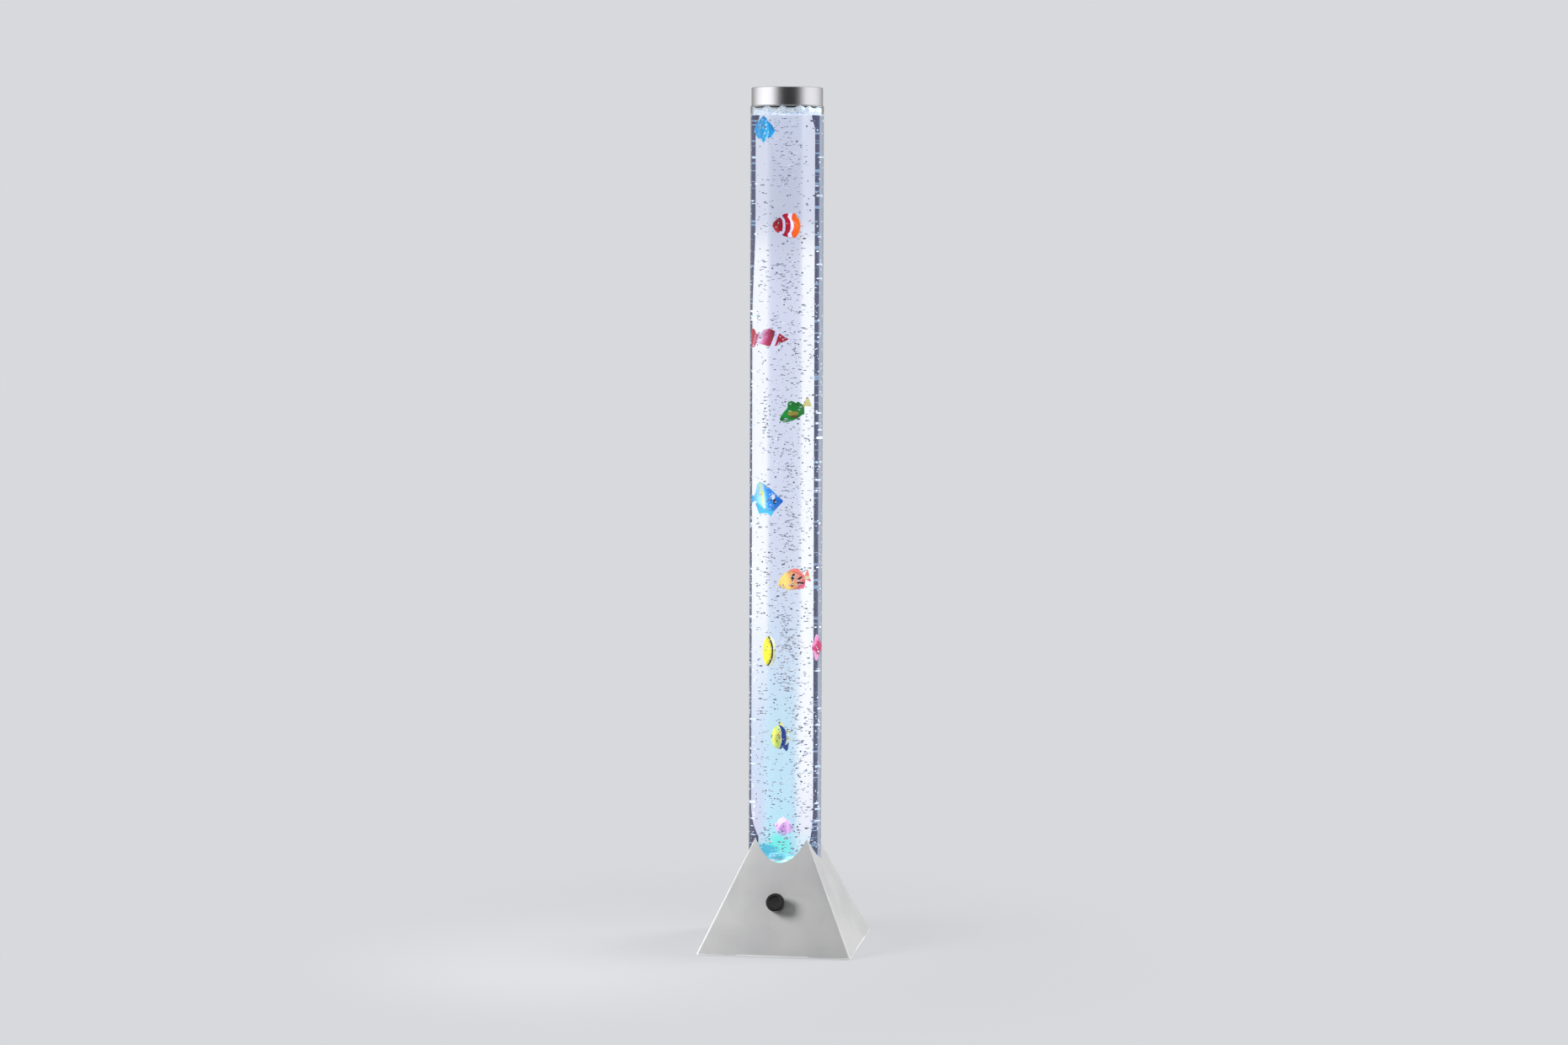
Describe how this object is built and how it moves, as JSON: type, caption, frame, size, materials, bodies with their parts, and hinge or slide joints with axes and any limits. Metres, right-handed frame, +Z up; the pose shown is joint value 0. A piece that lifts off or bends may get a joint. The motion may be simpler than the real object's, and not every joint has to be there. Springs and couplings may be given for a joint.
{
  "type": "bubble tube floor lamp",
  "caption": "Tall clear water tube with rising bubbles and small floating fish, a brushed metal cap, and a square pyramid metal base with a rotary knob.",
  "frame": {"origin": "on the ground, on the tube's axis under the middle of the square base", "axes": "+Z up along the tube, -Y towards the face with the knob, +X to that face's right"},
  "size_m": [0.212, 0.212, 1.18],
  "materials": {
    "clear_acrylic": "clear, polished",
    "clear_floor": "clear, polished",
    "water": "clear liquid with bubbles, lit from below",
    "stone": "porous grey",
    "white_moulding": "satin",
    "black_rubber": "matt",
    "brushed_silver": "brushed round the axis",
    "silver_paint": "fine matt silver coat",
    "zinc_steel": "zinc plated",
    "black_moulding": "matt moulded",
    "knob_black": "glossy black",
    "bare_aluminium": "turned",
    "board_green": "solder mask",
    "lamp_white": "glowing lens",
    "board_pieces": "moulded",
    "copper_coil": "enamelled wire, taped",
    "core_steel": "laminated",
    "clear_hose": "translucent silicone",
    "lead_red": "insulated lead",
    "lead_cream": "insulated lead",
    "fish_sky": "painted, speckled",
    "fish_ember": "painted red, white and orange bands",
    "fish_coral": "painted red and white bands",
    "fish_leaf": "painted green, olive belly",
    "fish_azure": "painted blue, pale rear",
    "fish_amber": "painted orange, coral fins",
    "fish_lemon": "painted yellow, green line",
    "fish_rose": "painted pink",
    "fish_night": "painted yellow and dark blue",
    "fish_lilac": "painted pale violet"
  },
  "bodies": {
    "lamp": {"tube": "clear_acrylic", "tube_floor": "clear_floor", "air_nozzle": "white_moulding", "nozzle_seal": "black_rubber", "nozzle_nut": "white_moulding", "air_stone": "stone", "water_column": "water", "tube_socket": "black_moulding", "socket_posts": "bare_aluminium", "socket_screws": "zinc_steel", "post_screws": "zinc_steel", "led_board": "board_green", "leds": "lamp_white", "led_screws": "zinc_steel", "base_shell": "silver_paint", "shell_brackets": "zinc_steel", "bracket_screws": "zinc_steel", "base_plate": "zinc_steel", "feet": "black_rubber", "pump_case": "black_moulding", "pump_lid": "black_moulding", "pump_screws": "zinc_steel", "pump_mounts": "black_rubber", "pump_core": "core_steel", "pump_coil": "copper_coil", "arm_bracket": "zinc_steel", "arm_pin": "zinc_steel", "pump_bellows": "black_rubber", "valve_block": "white_moulding", "lower_hose": "clear_hose", "check_valve": "white_moulding", "upper_hose": "clear_hose", "control_board": "board_green", "board_parts": "board_pieces", "board_standoffs": "bare_aluminium", "board_screws": "zinc_steel", "dimmer_body": "zinc_steel", "dimmer_nut": "zinc_steel", "dc_jack": "black_moulding", "jack_nut": "zinc_steel", "led_lead": "lead_red", "pump_lead": "lead_cream", "control_leads": "lead_red"},
    "cap": {"top_cap": "brushed_silver", "cap_plug": "white_moulding", "cap_seal": "black_rubber"},
    "knob": {"knob": "knob_black", "dimmer_shaft": "zinc_steel"},
    "arm": {"pump_arm": "zinc_steel", "arm_magnet": "core_steel"},
    "fish_sky": {"fish_sky": "fish_sky"},
    "fish_ember": {"fish_ember": "fish_ember"},
    "fish_coral": {"fish_coral": "fish_coral"},
    "fish_leaf": {"fish_leaf": "fish_leaf"},
    "fish_azure": {"fish_azure": "fish_azure"},
    "fish_amber": {"fish_amber": "fish_amber"},
    "fish_lemon": {"fish_lemon": "fish_lemon"},
    "fish_rose": {"fish_rose": "fish_rose"},
    "fish_night": {"fish_night": "fish_night"},
    "fish_lilac": {"fish_lilac": "fish_lilac"}
  },
  "joints": [
    {"name": "knob_turn", "type": "hinge", "parent": "lamp", "child": "knob", "pos_m": [0, -0.07575, 0.06708], "axis": [0, 0.9068, -0.4216], "range_deg": [0, 280]},
    {"name": "cap_lift", "type": "slide", "parent": "lamp", "child": "cap", "axis": [0, 0, 1], "range_m": [0, 0.04]},
    {"name": "arm_rock", "type": "hinge", "parent": "lamp", "child": "arm", "pos_m": [-0.065, 0, 0.0333], "axis": [0, 1, 0], "range_deg": [-1.5, 1.5], "stiffness_Nm_per_rad": 2, "deforming": ["pump_bellows"]},
    {"name": "fish_sky_float", "type": "slide", "parent": "lamp", "child": "fish_sky", "axis": [0, 0, 1], "range_m": [-0.0563, 0]},
    {"name": "fish_ember_float", "type": "slide", "parent": "lamp", "child": "fish_ember", "axis": [0, 0, 1], "range_m": [-0.0297, 0.031]},
    {"name": "fish_coral_float", "type": "slide", "parent": "lamp", "child": "fish_coral", "axis": [0, 0, 1], "range_m": [-0.0342, 0.0401]},
    {"name": "fish_leaf_float", "type": "slide", "parent": "lamp", "child": "fish_leaf", "axis": [0, 0, 1], "range_m": [-0.034, 0.0227]},
    {"name": "fish_azure_float", "type": "slide", "parent": "lamp", "child": "fish_azure", "axis": [0, 0, 1], "range_m": [-0.0324, 0.0338]},
    {"name": "fish_amber_float", "type": "slide", "parent": "lamp", "child": "fish_amber", "axis": [0, 0, 1], "range_m": [-0.0301, 0.0278]},
    {"name": "fish_lemon_float", "type": "slide", "parent": "lamp", "child": "fish_lemon", "axis": [0, 0, 1], "range_m": [-0.0306, 0.0195]},
    {"name": "fish_rose_float", "type": "slide", "parent": "lamp", "child": "fish_rose", "axis": [0, 0, 1], "range_m": [-0.0383, 0.0189]},
    {"name": "fish_night_float", "type": "slide", "parent": "lamp", "child": "fish_night", "axis": [0, 0, 1], "range_m": [-0.0375, 0.0375]},
    {"name": "fish_lilac_float", "type": "slide", "parent": "lamp", "child": "fish_lilac", "axis": [0, 0, 1], "range_m": [-0.0136, 0.043]}
  ]
}
